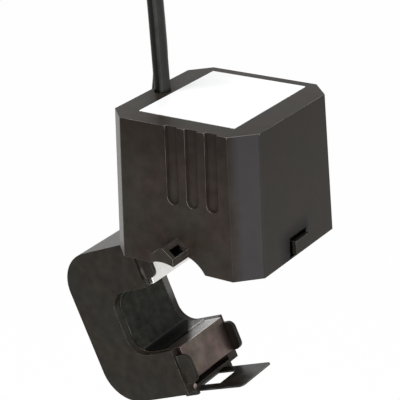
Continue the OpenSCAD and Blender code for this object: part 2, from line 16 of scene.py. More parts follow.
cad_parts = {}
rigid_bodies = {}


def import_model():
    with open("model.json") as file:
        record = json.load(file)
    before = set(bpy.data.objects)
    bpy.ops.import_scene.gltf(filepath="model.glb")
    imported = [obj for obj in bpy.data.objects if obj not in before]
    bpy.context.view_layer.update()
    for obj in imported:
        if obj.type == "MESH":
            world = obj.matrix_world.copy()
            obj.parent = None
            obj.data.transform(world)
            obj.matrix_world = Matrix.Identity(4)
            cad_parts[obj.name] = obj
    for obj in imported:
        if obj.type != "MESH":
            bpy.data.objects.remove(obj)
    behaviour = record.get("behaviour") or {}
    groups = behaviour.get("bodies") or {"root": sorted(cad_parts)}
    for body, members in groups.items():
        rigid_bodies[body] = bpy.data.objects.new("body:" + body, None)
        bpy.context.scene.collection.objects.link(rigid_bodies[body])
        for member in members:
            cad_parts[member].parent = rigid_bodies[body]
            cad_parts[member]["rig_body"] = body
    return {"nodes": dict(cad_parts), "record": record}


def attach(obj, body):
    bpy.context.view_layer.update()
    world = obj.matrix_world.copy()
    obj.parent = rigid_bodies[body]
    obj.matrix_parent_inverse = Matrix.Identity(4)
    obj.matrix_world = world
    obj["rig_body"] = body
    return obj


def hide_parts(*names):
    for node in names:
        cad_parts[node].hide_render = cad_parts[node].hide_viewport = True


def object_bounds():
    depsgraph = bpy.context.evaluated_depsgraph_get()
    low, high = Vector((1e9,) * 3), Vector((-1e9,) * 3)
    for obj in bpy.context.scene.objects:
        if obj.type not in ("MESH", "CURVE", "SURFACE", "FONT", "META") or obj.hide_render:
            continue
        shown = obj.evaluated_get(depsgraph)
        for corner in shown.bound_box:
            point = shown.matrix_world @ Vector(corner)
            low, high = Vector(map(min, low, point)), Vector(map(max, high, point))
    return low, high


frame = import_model()
cad_low, cad_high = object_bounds()
MM = 0.001

# %% [markdown]
# ## Camera
# A camera is a place and three directions. Working them out from an azimuth, an elevation and a
# small roll keeps the view easy to change, where a list of nine matrix numbers would not be.
# The long lens stands well back, which keeps upright edges nearly parallel.

# %% Camera
VIEW_AZIMUTH = math.radians(35.07)
VIEW_ELEVATION = math.radians(23.11)
VIEW_ROLL = math.radians(-3.13)
VIEW_DISTANCE = 490.8 * MM
VIEW_TARGET = np.array([-9.23, 0.0, 15.52]) * MM
LENS_MM = 148.22
SENSOR_MM = 36.0


def make_camera():
    """The camera looks from the target along 'back'; roll turns its right and up about that."""
    cos_a, sin_a = math.cos(VIEW_AZIMUTH), math.sin(VIEW_AZIMUTH)
    cos_e, sin_e = math.cos(VIEW_ELEVATION), math.sin(VIEW_ELEVATION)
    back = np.array([sin_a * cos_e, -cos_a * cos_e, sin_e])
    level = np.array([cos_a, sin_a, 0.0])
    upright = np.cross(back, level)
    right = math.cos(VIEW_ROLL) * level + math.sin(VIEW_ROLL) * upright
    up = -math.sin(VIEW_ROLL) * level + math.cos(VIEW_ROLL) * upright
    place = VIEW_TARGET + back * VIEW_DISTANCE
    data = bpy.data.cameras.new("view")
    data.lens = LENS_MM
    data.sensor_width = SENSOR_MM
    data.clip_start, data.clip_end = 0.01, 20.0
    camera = bpy.data.objects.new("view", data)
    rows = np.eye(4)
    rows[:3, 0], rows[:3, 1], rows[:3, 2], rows[:3, 3] = right, up, back, place
    camera.matrix_world = Matrix(rows.tolist())
    bpy.context.collection.objects.link(camera)
    bpy.context.scene.camera = camera
    return camera


camera = make_camera()
print("camera at", [round(v, 4) for v in camera.matrix_world.translation])

# %% [markdown]
# ## Putting a surface into a mesh
# Every new shape is a grid of points worked out with whole numpy arrays. One helper turns a grid
# into faces, closed round one or both ways, so each shape only has to say where its points are.

# %% Grid helper


def make_piece(name, points, faces):
    """A mesh object from an array of points (n, 3) and a list or array of faces."""
    mesh = bpy.data.meshes.new(name)
    mesh.from_pydata(np.asarray(points, float).tolist(), [], [list(map(int, f)) for f in faces])
    mesh.update()
    piece = bpy.data.objects.new(name, mesh)
    bpy.context.collection.objects.link(piece)
    return piece


def tube_faces(rings, sides):
    """Quads between neighbouring rings of a tube whose sides close on themselves."""
    i = np.arange(rings - 1)[:, None] * sides
    k = np.arange(sides)[None, :]
    nxt = (k + 1) % sides
    quads = np.stack([i + k, i + nxt, i + sides + nxt, i + sides + k], -1)
    return quads.reshape(-1, 4).tolist()


def smooth_shade(piece):
    """Marks every face smooth."""
    flags = np.ones(len(piece.data.polygons), bool)
    piece.data.polygons.foreach_set("use_smooth", flags)


print("a tube of three rings of four points has", len(tube_faces(3, 4)), "faces")

# %% [markdown]
# ## The lead's free stretch
# The lead is one length of jacketed cable. It rises out of the roof, bends over and comes down
# behind the housing. A cable has no straight pieces and no corners, so this stretch is drawn
# through listed points, with a cubic between each two that leaves its slope unbroken.

# %% The lead's free stretch
CORD_D = 4.8
CORD_EXIT = np.array([-20.5, 0.0, 48.4])
CORD_STEPS = [
    [0, 0, 0], [-0.2, 0, 8.6], [-0.4, 0, 17.6], [-0.6, 0, 25.6], [-0.9, 0, 32.6], [-2.6, 2.1, 43.2],
    [-7, 8, 50.5], [-12.9, 16, 53.2], [-18.7, 24, 50.5], [-23.0, 29.9, 43.2], [-24.4, 32.1, 33.2],
    [-24.2, 32.1, 24.6], [-23.9, 32.1, 15.6], [-23.6, 32.1, 6.6], [-23.5, 32.1, -2.4],
    [-23.9, 31.4, -11.4], [-24.6, 29.4, -20.4], [-25.4, 27, -29.4], [-26.3, 25, -38.4],
    [-26.8, 23.9, -47.4], [-27.4, 23.3, -58.4], [-27.9, 22.9, -70.4], [-28.3, 22.7, -81.4],
    [-28.7, 22.4, -91.8],
]
CORD_ROUTE = CORD_EXIT + np.array(CORD_STEPS)
SPAN_STEPS = 6


def through(points, steps):
    """Smooth line through the points: on each span a cubic whose slopes are half the step across."""
    p = np.asarray(points, float)
    a = p[np.maximum(np.arange(len(p) - 1) - 1, 0)]
    b, c = p[:-1], p[1:]
    d = p[np.minimum(np.arange(len(p) - 1) + 2, len(p) - 1)]
    t = (np.arange(steps) / steps)[None, :, None]
    a, b, c, d = (q[:, None, :] for q in (a, b, c, d))
    line = 0.5 * (2 * b + (c - a) * t + (2 * a - 5 * b + 4 * c - d) * t**2
                  + (3 * b - a - 3 * c + d) * t**3)
    return np.concatenate([line.reshape(-1, 3), p[-1:]])


free_line = through(CORD_ROUTE, SPAN_STEPS)
print("free stretch:", len(free_line), "points")

# %% [markdown]
# ## The hank's turns
# The rest of the lead is wound into a hank of four turns, held by a tie. Each turn is two straight
# runs and two half circles, worked out in the hank's own upright axes, where the sums are easy,
# and then leaned and turned into place. So the length in the turns can be counted.

# %% The hank's turns
HANK_AT = CORD_EXIT + np.array([-43.8, 41.6, -70.8])
HANK_TURN = math.radians(35)
HANK_LEAN = math.radians(3)
HANK_RUN = 42.0
HANK_BEND = 14.6
HANK_SLACK = 0.2
TAIL_L = 7.0
TAIL_STEPS = 4


def at_hank(points):
    """From the hank's own axes to the row's: lean about Y, turn about Z, then move."""
    p = np.asarray(points, float)
    x = p[..., 0] * math.cos(HANK_LEAN) + p[..., 2] * math.sin(HANK_LEAN)
    z = -p[..., 0] * math.sin(HANK_LEAN) + p[..., 2] * math.cos(HANK_LEAN)
    turned_x = x * math.cos(HANK_TURN) - p[..., 1] * math.sin(HANK_TURN)
    turned_y = x * math.sin(HANK_TURN) + p[..., 1] * math.cos(HANK_TURN)
    return np.stack([turned_x, turned_y, z], -1) + HANK_AT


def fold(x_from, x_to, y_from, y_to, side, steps=16):
    """Half circle at the hank's top (side 1) or foot (side -1), sliding across in x."""
    a = np.linspace(0, np.pi, steps + 1)[:-1]
    middle, reach = (y_from + y_to) / 2, (y_from - y_to) / 2
    x = x_from + (x_to - x_from) * (1 - np.cos(a)) / 2
    z = side * (HANK_RUN / 2 + abs(reach) * np.sin(a))
    return np.stack([x, middle + reach * np.cos(a), z], -1)


def run(x, y, going_up, steps=6):
    """Straight run of the hank between its foot and its top."""
    z = np.linspace(-0.5, 0.5, steps + 1)[:-1] * HANK_RUN * (1 if going_up else -1)
    return np.stack([np.full(steps, x), np.full(steps, y), z], -1)


# strands in the order that the lead takes them, each as (place across, distance from the middle)
OUTER, INNER = HANK_BEND + CORD_D, HANK_BEND
COMES_IN = (CORD_D / 2, OUTER + CORD_D + HANK_SLACK)
STRANDS = [(CORD_D / 2, OUTER), (CORD_D / 2, INNER), (-CORD_D / 2, INNER), (-CORD_D / 2, OUTER)]


def hank_line():
    """The four turns: from the near strand's foot round and round to the foot of the last one."""
    parts = []
    here = COMES_IN
    for across, out in STRANDS:
        parts.append(fold(here[0], across, -here[1], out, -1))
        parts.append(run(across, out, True))
        parts.append(fold(across, across, out, -out, 1))
        parts.append(run(across, -out, False))
        here = (across, out)
    drop = math.sqrt((OUTER + CORD_D / 2)**2 - (OUTER - CORD_D / 2)**2) + TAIL_L
    tail = [[here[0], -here[1], -HANK_RUN / 2 - drop * k / TAIL_STEPS] for k in range(TAIL_STEPS + 1)]
    return at_hank(np.concatenate(parts + [tail]))


cord_line = np.concatenate([free_line[:-1], hank_line()]) * MM

# %% [markdown]
# ## The lead's jacket
# The jacket is a round tube swept along the line. To sweep it, two directions across the line are
# carried from point to point without twisting; a frame worked out afresh at each point could flip
# where the line straightens. The tube also remembers the angle of each of its points, because the
# finish has a painted lit side and a painted highlight line, which have to follow the lead through its
# bends.

# %% The lead's jacket
TUBE_SIDES = 20


def carried_frame(line):
    """Two directions across the line at each point: the last point's, less its share along here."""
    along = np.gradient(line, axis=0)
    along /= np.linalg.norm(along, axis=1)[:, None]
    across = np.zeros_like(line)
    first = np.cross(along[0], [0.3, 1.0, 0.1])
    across[0] = first / np.linalg.norm(first)
    for i in range(1, len(line)):
        flat = across[i - 1] - along[i] * (across[i - 1] @ along[i])
        across[i] = flat / np.linalg.norm(flat)
    return across, np.cross(along, across)


def tube(name, line, radius, sides):
    """Round tube: ring i is the line's point plus radius times cos and sin of the two directions,
    and the cos and sin are kept with each point, so that a finish can follow the tube's side."""
    across, other = carried_frame(line)
    a = np.linspace(0, 2 * np.pi, sides, endpoint=False)
    rings = (line[:, None, :] + radius * (np.cos(a)[None, :, None] * across[:, None, :]
                                          + np.sin(a)[None, :, None] * other[:, None, :]))
    faces = tube_faces(len(line), sides)
    last = (len(line) - 1) * sides
    faces.append(list(range(sides))[::-1])
    faces.append([last + k for k in range(sides)])
    piece = make_piece(name, rings.reshape(-1, 3), faces)
    smooth_shade(piece)
    for label, values in (("side_cos", np.cos(a)), ("side_sin", np.sin(a))):
        kept = piece.data.attributes.new(label, "FLOAT", "POINT")
        kept.data.foreach_set("value", np.tile(values, len(line)))
    return piece


lead = tube("lead", cord_line, CORD_D / 2 * MM, TUBE_SIDES)
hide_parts("cord", "cord_hank", "cord_tail")
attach(lead, "housing")
print("lead faces:", len(lead.data.polygons))

# %% [markdown]
# ## Writing a material as sums
# A finish is a handful of numbers that change over the surface: how dark, how rough, how bumpy.
# Wrapping each socket in a small class lets these be written as ordinary sums, which read better
# than a page of nodes and links, and every sum still becomes nodes that can be opened and changed.

# %% Shader sums


class Wave:
    """One output socket of a material's tree; sums on it add Math nodes."""

    def __init__(self, tree, socket):
        self.tree, self.socket = tree, socket

    def _sum(self, operation, other, flip=False):
        pair = (other, self) if flip else (self, other)
        return add_node(self.tree, "ShaderNodeMath", {"operation": operation}, dict(enumerate(pair)))

    def __add__(self, other):
        return self._sum("ADD", other)

    __radd__ = __add__

    def __sub__(self, other):
        return self._sum("SUBTRACT", other)

    def __rsub__(self, other):
        return self._sum("SUBTRACT", other, True)

    def __mul__(self, other):
        return self._sum("MULTIPLY", other)

    __rmul__ = __mul__


def add_node(tree, kind, settings, values, output=0):
    """Adds a node, sets it up, fills its sockets with values or links, and returns one output."""
    node = tree.nodes.new(kind)
    for name, value in settings.items():
        if name == "stops":
            ramp = node.color_ramp
            for i, (place, shade) in enumerate(value):
                stop = ramp.elements[i] if i < 2 else ramp.elements.new(place)
                stop.position, stop.color = place, (shade, shade, shade, 1)
        else:
            setattr(node, name, value)
    for name, value in values.items():
        if isinstance(value, Wave):
            tree.links.new(value.socket, node.inputs[name])
        else:
            node.inputs[name].default_value = value
    return Wave(tree, node.outputs[output]) if node.outputs else None


print("sums on sockets: +, - and *")

# %% [markdown]
# ## A finish in the making
# Each finish starts the same way: a principled shader, an output and the object's own coordinates.
# The marks on this part sit in known places, such as a rubbed corner, so the class also holds a
# few ways to say where: the place along an axis, a fade between two places, and a band.

# %% A finish in the making


class Finish:
    """A material being made: its tree, its object coordinates and its shader."""

    def __init__(self, name):
        self.material = bpy.data.materials.new(name)
        self.material.use_nodes = True
        self.tree = self.material.node_tree
        self.tree.nodes.clear()
        surface = self.node("ShaderNodeBsdfPrincipled", {}, {}, "BSDF")
        self.shader = surface.socket.node
        self.node("ShaderNodeOutputMaterial", {}, {"Surface": surface})
        self.place = self.node("ShaderNodeTexCoord", {}, {}, "Object")

    def node(self, kind, settings, values, output=0):
        """Adds a node to this material's tree."""
        return add_node(self.tree, kind, settings, values, output)

    def noise(self, scale, detail=3.0, stretch=(1, 1, 1)):
        """Cloudy value round 0.5; stretch squeezes it along an axis, as for brushing."""
        place = self.node("ShaderNodeMapping", {}, {"Vector": self.place, "Scale": stretch})
        return self.node("ShaderNodeTexNoise", {}, {"Vector": place, "Scale": scale, "Detail": detail})

    def ramp(self, value, *stops):
        """Grey between stops, each of them a place and a shade."""
        return self.node("ShaderNodeValToRGB", {"stops": stops}, {"Fac": value})

    def along(self, axis):
        """The Object coordinate on one axis, in metres."""
        return self.node("ShaderNodeSeparateXYZ", {}, {"Vector": self.place}, axis)

    def fade(self, value, low, high):
        """0 at low and 1 at high, straight in between and level outside."""
        return self.node("ShaderNodeMapRange", {},
                         {"Value": value, "From Min": low, "From Max": high})

    def band(self, value, start, full, last, end):
        """0 up to start, 1 from full to last and 0 again past end, straight in between."""
        return self.fade(value, start, full) * self.fade(value, end, last)

    def blend(self, amount, first, second):
        """Colour between two colours, each of them three numbers or a socket."""
        ends = [shade if isinstance(shade, Wave) else (*shade, 1.0) for shade in (first, second)]
        return self.node("ShaderNodeMix", {"data_type": "RGBA"},
                         {0: amount, 6: ends[0], 7: ends[1]}, 2)

    def set(self, name, value):
        """Fills a socket of the shader with a number, a colour or a link."""
        if isinstance(value, Wave):
            self.tree.links.new(value.socket, self.shader.inputs[name])
        else:
            plain = (*value, 1.0) if isinstance(value, tuple) else value
            self.shader.inputs[name].default_value = plain

    def bump(self, height, depth, strength=1.0):
        """Bump from a height between 0 and 1 that stands for depth metres."""
        self.set("Normal", self.node("ShaderNodeBump", {}, {
            "Height": height, "Distance": depth, "Strength": strength}))


print("a finish holds:", [name for name in vars(Finish) if not name.startswith("_")])

# %% [markdown]
# ## Moulded black plastic
# The housing and the jaw are moulded in black thermoplastic with a fine spark-eroded grain. Black
# plastic is never quite black: it holds a warm brown in some places and a cold grey in others, and
# the grain scatters a soft sheen over it. Two noises choose the shade: a wide one picks brown or
# grey, and a small one picks dark or pale. Keeping the colour and the grain in two functions lets
# each piece put its own marks between them.

# %% Plastic shades and grain
# depth in metres of the moulded grain, and of the finer skin on rubbed and plain plastic
GRAIN_DEPTH = 0.00003
SKIN_DEPTH = 0.00002


def mottled(f, brown, grey, wide=70.0, small=300.0):
    """brown and grey are pairs of a dark and a pale shade; returns the mottled colour."""
    patch = f.fade(f.noise(wide, 4.0), 0.4, 0.6)
    speck = f.fade(f.noise(small, 5.0), 0.3, 0.7)
    return f.blend(speck, f.blend(patch, brown[0], grey[0]), f.blend(patch, brown[1], grey[1]))


def grained(f, rough, gloss, depth=GRAIN_DEPTH):
    """A two-sized grain for roughness and bump; gloss is the strength of the reflection."""
    fine = f.noise(2600.0, 2.0)
    coarse = f.noise(900.0, 3.0)
    f.set("Roughness", rough + (fine - 0.5) * 0.1 + (coarse - 0.5) * 0.08)
    f.set("Specular IOR Level", gloss)
    f.bump(fine * 0.6 + coarse * 0.4, depth, 0.5)


print("grain and skin depth, mm:", round(GRAIN_DEPTH / MM, 3), round(SKIN_DEPTH / MM, 3))

# %% [markdown]
# ## The housing's plastic
# The latch side is a colder grey than the grooved front. The flat before it gets a paler cool grey
# and the flat beside the hinge the palest grey: both are painted light, standing for the light and
# reflection those flats catch. The scooped pocket round the catch and the tie lug's slot are a
# painted shade. The housing's faces lean by a degree or two, so each place is found from a
# sum of coordinates that is the same all over its face.

# %% Housing plastic
# where the leaning faces lie, in metres: the roof's z, and the sums that are level on the others
ROOF_Z = 0.0483
SIDE_LEAN, SIDE_AT = 0.021, 0.0248
FLAT_LEAN, FLAT_AT, HINGE_FLAT_AT = 0.0526, 0.0441, 0.045
# painted shade for the scooped pocket round the catch
POCKET_SHADE = (0.0008, 0.0008, 0.0008)


def housing_finish():
    """Mottled brown-black, darker high on the front and colder on the latch side; painted light makes
    the flat before it and the hinge flat paler, and painted shade is black in the lug's slot and round
    the catch."""
    f = Finish("housing plastic")
    x, y, z = f.along("X"), f.along("Y"), f.along("Z")
    colour = mottled(f, ((0.0215, 0.0155, 0.0125), (0.0335, 0.0245, 0.02)),
                     ((0.0205, 0.0175, 0.0135), (0.0305, 0.0265, 0.0215)))
    roof = f.fade(z, ROOF_Z, ROOF_Z + 0.00005)
    colour = f.blend(f.fade(z, 0.03, 0.046) * (1 - roof) * 0.5, colour, (0.007, 0.0045, 0.003))
    colour = f.blend(f.fade(x, -0.005, 0.022) * roof * 0.6, colour, (0.009, 0.006, 0.003))
    # painted light: the flat before the latch side is made paler and cooler
    flat = f.fade(x - y + z * FLAT_LEAN, FLAT_AT, FLAT_AT + 0.0002)
    flat = flat * (1 - roof) * f.fade(x + y, -0.007, -0.002)
    colour = f.blend(flat * 0.7, colour, (0.041, 0.039, 0.042))
    side = x + z * SIDE_LEAN
    skin = f.fade(side, SIDE_AT, SIDE_AT + 0.0002)
    colour = f.blend(skin * 0.75, colour, (0.0185, 0.016, 0.0135))
    # painted reflection: the flat beside the hinge is made the palest grey
    hinge_flat_sheen = f.fade(z * FLAT_LEAN - x - y, HINGE_FLAT_AT, HINGE_FLAT_AT + 0.0002) * (1 - roof)
    colour = f.blend(hinge_flat_sheen, colour, (0.115, 0.109, 0.103))
    # painted shade: black inside the tie lug's slot
    slot = (f.band(z, 0.01275, 0.01285, 0.01445, 0.01455)
            * f.band(y, -0.032, -0.0319, -0.0275, -0.0274))
    colour = f.blend(slot, colour, (0.001, 0.001, 0.001))
    # painted shade: black above the catch and to its left, fading out onto the face
    halo = f.band(y, -0.0115, -0.0058, 0.0045, 0.0055) * f.fade(z, 0.0165, 0.0125)
    proud = f.fade(y, -0.0039, -0.0034) * f.fade(z, 0.0112, 0.0107)
    colour = f.blend(halo * skin * (1 - proud) * 0.85, colour, POCKET_SHADE)
    # painted shade on the sunk floor beside the catch
    sunk = f.band(side, 0.0228, 0.0231, 0.0247, 0.02508)
    beside = f.band(y, -0.0075, -0.0055, 0.0045, 0.0055) * f.fade(z, 0.0145, 0.0125)
    colour = f.blend(sunk * beside, colour, POCKET_SHADE)
    f.set("Base Color", colour)
    grained(f, 0.34, 0.07)
    return f.material


housing_plastic = housing_finish()
print(housing_plastic.name, "nodes:", len(housing_plastic.node_tree.nodes))

# %% [markdown]
# ## The jaw's plastic
# The jaw has the same plastic, a shade darker and greyer. It hangs turned, so its marks are placed
# along its own two directions: deep runs from its back to its poles, across runs from the lower
# leg to the upper one. The far lip behind the liner gets a painted highlight, the far ear a
# painted shade, and the latch plate is clouded where fingers press it.

# %% Jaw plastic
# x and z parts of the open jaw's direction from its back to its poles
JAW_X, JAW_Z = 0.924, 0.383


def jaw_ways(f):
    """Deep and across: the place along the open jaw's two directions, in metres."""
    x, z = f.along("X"), f.along("Z")
    return x * JAW_X + z * JAW_Z, z * JAW_X - x * JAW_Z


def jaw_finish():
    """Mottled grey-black, a painted highlight on the far lip, painted shade on the far ear, clouded on
    the latch plate.
    """
    f = Finish("jaw plastic")
    x, y, z = f.along("X"), f.along("Y"), f.along("Z")
    deep, across = jaw_ways(f)
    colour = mottled(f, ((0.0115, 0.0085, 0.0058), (0.023, 0.018, 0.0128)),
                     ((0.0115, 0.01, 0.0072), (0.0195, 0.0175, 0.0132)))
    # painted highlight: the far lip behind the liner is made pale
    lip = (f.fade(z, -0.029, -0.025) * f.band(deep, -0.042, -0.0405, -0.03, -0.026)
           * f.band(across, -0.0232, -0.0225, -0.0012, -0.0005)
           * f.band(y, 0.011, 0.0114, 0.0137, 0.0139))
    colour = f.blend(lip * 0.6, colour, (0.16, 0.155, 0.145))
    # painted shade: the far ear is made darker
    far_ear_shade = f.fade(deep, -0.0225, -0.022) * f.band(y, 0.011, 0.0115, 0.0137, 0.0139)
    colour = f.blend(far_ear_shade * 0.6, colour, (0.005, 0.005, 0.004))
    plate = f.fade(x, -0.001, 0.002) * f.fade(z, -0.030, -0.032)
    handled = f.fade(f.noise(170.0, 5.0), 0.42, 0.66)
    pressed = f.blend(handled, (0.006, 0.005, 0.004), (0.05, 0.045, 0.04))
    colour = f.blend(plate * 0.8, colour, pressed)
    f.set("Base Color", colour)
    grained(f, 0.32, 0.12)
    return f.material


jaw_plastic = jaw_finish()
print(jaw_plastic.name, "nodes:", len(jaw_plastic.node_tree.nodes))

# %% [markdown]
# ## The window's liner
# The jaw's window is lined with a matt sleeve that spares the cable's jacket. Its back wall is a
# dark grey with dust and the floor of the bend is nearly black, with a faint pale line where they
# meet. The end over the lower leg is painted pale past a fixed line, a painted reflection.

# %% Liner plastic
# the painted reflection on the end lies past a line across x and y: the line's direction, and where it
# fades in
SHEEN_X, SHEEN_Y = 0.8185, 0.5745
SHEEN_FADE = (-0.01369, -0.01191)


def liner_finish(name, rim):
    """Dusty wall, dark floor past x = -25.5 mm, pale seam between, painted reflection on the end; rim
    pales the edges.
    """
    f = Finish(name)
    x, y, z = f.along("X"), f.along("Y"), f.along("Z")
    wall = mottled(f, ((0.009, 0.0085, 0.0065), (0.024, 0.023, 0.0195)),
                   ((0.008, 0.0085, 0.0065), (0.022, 0.0235, 0.019)), 120.0, 420.0)
    low = f.fade(z, -0.029, -0.0315)
    floor = f.fade(x, -0.0256, -0.0248) * low
    seam = f.band(x, -0.0262, -0.0256, -0.0255, -0.025) * low
    colour = f.blend(floor, wall, (0.0022, 0.0022, 0.0019))
    colour = f.blend(seam * 0.13, colour, (0.12, 0.12, 0.11))
    # pale patches on the rounded edges only, where rim is set: partly dust and partly a painted
    # highlight
    dust_and_highlight = f.fade(f.noise(260.0, 5.0), 0.35, 0.66) * f.fade(z, -0.031, -0.029)
    colour = f.blend(dust_and_highlight * rim, colour, (0.1, 0.1, 0.09))
    # painted reflection: the end over the lower leg is made pale past a fixed line
    pale_sheen = f.fade(x * SHEEN_X + y * SHEEN_Y, *SHEEN_FADE) * low * f.fade(x, -0.026, -0.022)
    colour = f.blend(pale_sheen, colour, (0.5, 0.49, 0.475))
    f.set("Base Color", colour)
    grained(f, 0.6, 0.08, 2 * GRAIN_DEPTH)
    return f.material


liner_plastic = liner_finish("liner plastic", 0.0)
print(liner_plastic.name, "nodes:", len(liner_plastic.node_tree.nodes))

# %% [markdown]
# ## Pale edges
# Handling wears moulded corners, and here they are also painted paler than the faces as a painted
# highlight, where a corner would catch the light. The Bevel modifier that rounds the corners can
# give its new faces a material of their own, so the pale edge is a second finish on the same
# piece. A noise breaks it up into patches.

# %% Pale edges


def pale_edge_finish(name, dark, pale, rough, gloss, where):
    """Between the plastic's own shade and a pale grey, in patches, partly wear and partly a painted
    highlight; where says how much.
    """
    f = Finish(name)
    edge_patches = f.fade(f.noise(160.0, 5.0), 0.38, 0.66)
    f.set("Base Color", f.blend(where(f, edge_patches), dark, pale))
    f.set("Roughness", rough + (f.noise(700.0) - 0.5) * 0.1)
    f.set("Specular IOR Level", gloss)
    f.bump(f.noise(1800.0, 2.0), SKIN_DEPTH, 0.4)
    return f.material


# %% [markdown]
# ## Where the pale edges lie
# The roof's rim is pale all along, and each groove on its hinge-side edge and at its foot; the
# grooves' feet, their hinge-side edges at the roof, the lug's slope and the roof's edge over the
# flat get a painted highlight. The upright corners of the flats are hardly paler. On the jaw it
# is the lower leg's front corner that gets a painted highlight.

# %% Where the pale edges lie
GROOVES = (-0.0009, 0.0057, 0.0123)


def housing_wear_and_highlight(f, edge_patches):
    """Pale patches all over, less between the grooves, on the flats and on the lug, and a painted
    highlight in places.
    """
    x, y, z = f.along("X"), f.along("Y"), f.along("Z")
    roof = f.fade(z, 0.0478, 0.0481)
    left = sum(f.band(x, m - 0.0026, m - 0.0024, m - 0.0015, m - 0.0013) for m in GROOVES)
    foot = sum(f.band(x, m - 0.0026, m - 0.0022, m - 0.0008, m) for m in GROOVES)
    foot = foot * f.fade(z, 0.0275, 0.0262)
    fluted = f.band(x, -0.0046, -0.0042, 0.0148, 0.0152) * f.fade(z, 0.0245, 0.025) * (1 - roof)
    cut = f.fade(x - y + z * FLAT_LEAN, 0.0437, 0.044)
    lug = f.fade(y, -0.0262, -0.0266)
    slope = f.fade(y, -0.0325, -0.033) * f.fade(x, 0.0, 0.0006) * f.fade(z, 0.0112, 0.0118)
    spared = fluted * (1 - left * 0.8) + cut * (1 - roof) * 0.95 + lug * 0.8
    # painted highlight: the lug's slope, the grooves' feet, the roof's edge over the flat, and the
    # grooves' hinge-side edges at the roof
    bright = slope * 1.2 + foot * 2.2 + cut * roof * 1.2 + left * f.fade(z, 0.0472, 0.048) * 1.5
    return edge_patches * (1 - spared) + bright


def jaw_wear_and_highlight(f, edge_patches):
    """Pale patches everywhere a little; a painted highlight on the lower leg's front corner."""
    y, z = f.along("Y"), f.along("Z")
    deep, _ = jaw_ways(f)
    # painted highlight on the lower leg's front corner
    corner = f.band(deep, -0.0252, -0.0246, -0.0232, -0.0226) * f.fade(y, -0.0133, -0.0137)
    return edge_patches + corner * f.fade(z, -0.028, -0.0285) * 1.2


# pale edge finishes: partly wear and partly a painted highlight
edges = {
    "housing_plastic": pale_edge_finish("housing edge", (0.027, 0.023, 0.019), (0.23, 0.22, 0.2),
                                   0.3, 0.3, housing_wear_and_highlight),
    "jaw_plastic": pale_edge_finish("jaw edge", (0.03, 0.027, 0.024), (0.22, 0.21, 0.2),
                               0.3, 0.3, jaw_wear_and_highlight),
    "liner": liner_finish("liner edge", 1.0),
}
print("rubbed edges:", len(edges))

# %% [markdown]
# ## The label's film
# The label is a bare white film stuck on the roof. White paint at full strength would leave no
# room for light, so its two shades stay a little under one, and a faint skin keeps it from
# looking like a hole in the roof.

# %% Label film


def film_white():
    """Two near whites in wide soft clouds, and a very fine skin."""
    f = Finish("label film")
    soft = f.noise(140.0, 3.0)
    f.set("Base Color", f.blend(soft, (0.9, 0.9, 0.9), (0.95, 0.95, 0.95)))
    f.set("Roughness", 0.42 + (soft - 0.5) * 0.1)
    f.bump(f.noise(1500.0, 2.0), SKIN_DEPTH / 2, 0.4)
    return f.material


label_film = film_white()
print(label_film.name, "nodes:", len(label_film.node_tree.nodes))

# %% [markdown]
# ## Ground metal
# The core's poles are ground flat, so that the two halves meet without a gap. Grinding leaves fine
# lines: a noise that is drawn out along two axes and stays fine along the third. Bare iron blooms
# with a thin brown oxide, which clouds the lower poles. The upper ones are painted near white,
# partly bare iron and partly a painted reflection, and a painted reflection lies on the lower leg's
# inner side.

# %% Ground metal
# how close the lines lie along each axis, and how deep they are in metres
GROUND = (0.06, 1, 0.06)
LINE_DEPTH = 0.00002


def ground_metal(name, bright, stained, rough):
    """Fine ground lines with faint blotches of oxide."""
    f = Finish(name)
    lines = f.noise(900.0, 4.0, GROUND)
    blotch = f.ramp(f.noise(150.0, 5.0), (0.3, 0.0), (0.75, 1.0))
    f.set("Base Color", f.blend(blotch, bright, stained))
    f.set("Metallic", 1.0)
    f.set("Roughness", rough + (lines - 0.5) * 0.2 + blotch * 0.08)
    f.bump(lines, LINE_DEPTH, 0.5)
    return f.material


def core_metal(low, high):
    """Ground iron: oxide below low; near white above high, partly bare and partly a painted
    reflection; a painted reflection on the lower leg's inner side.
    """
    f = Finish("core metal")
    lines = f.noise(900.0, 4.0, GROUND)
    clouds = f.fade(f.noise(190.0, 5.0), 0.32, 0.68)
    tints = f.fade(f.noise(90.0, 3.0), 0.4, 0.6)
    x, y, z = f.along("X"), f.along("Y"), f.along("Z")
    # partly a painted reflection: above high the iron is made near white
    bare = f.fade(z, low, high)
    stain = f.blend(clouds, f.blend(tints, (0.155, 0.11, 0.1), (0.15, 0.125, 0.105)),
                    f.blend(tints, (0.075, 0.055, 0.052), (0.085, 0.068, 0.056)))
    _, across = jaw_ways(f)
    # painted reflection on the lower leg's inner side, faded in across the same fixed line as on the
    # liner
    inner = f.fade(across, -0.02285, -0.02275) * f.fade(z, -0.026, -0.028)
    inner = inner * f.fade(x * SHEEN_X + y * SHEEN_Y, *SHEEN_FADE)
    colour = f.blend(bare, stain, (0.78, 0.77, 0.75))
    f.set("Base Color", f.blend(inner, colour, (0.62, 0.61, 0.59)))
    f.set("Metallic", 1.0)
    f.set("Roughness", 0.4 - bare * 0.08 + (lines - 0.5) * 0.16 + (clouds - 0.5) * 0.1)
    f.bump(lines, LINE_DEPTH, 0.5)
    return f.material


core_iron = core_metal(-0.024, -0.014)
print(core_iron.name, "nodes:", len(core_iron.node_tree.nodes))

# %% [markdown]
# ## Plain plastics and the lead's jacket
# The pieces inside are nylon, lacquer and film, each one even shade with a faint cloud and a fine
# skin, so one function makes them all. The jacket is soft dark plastic with a painted lit side and
# a thin painted highlight line, and both follow the lead through its bends. Their angle round the
# lead comes from the cosine and sine that the tube kept.

# %% Plain plastics and the jacket
# angles round the lead of the painted highlight line and of the painted lit side
HIGHLIGHT_AT, LIT_SIDE_AT = math.radians(136), math.radians(232)


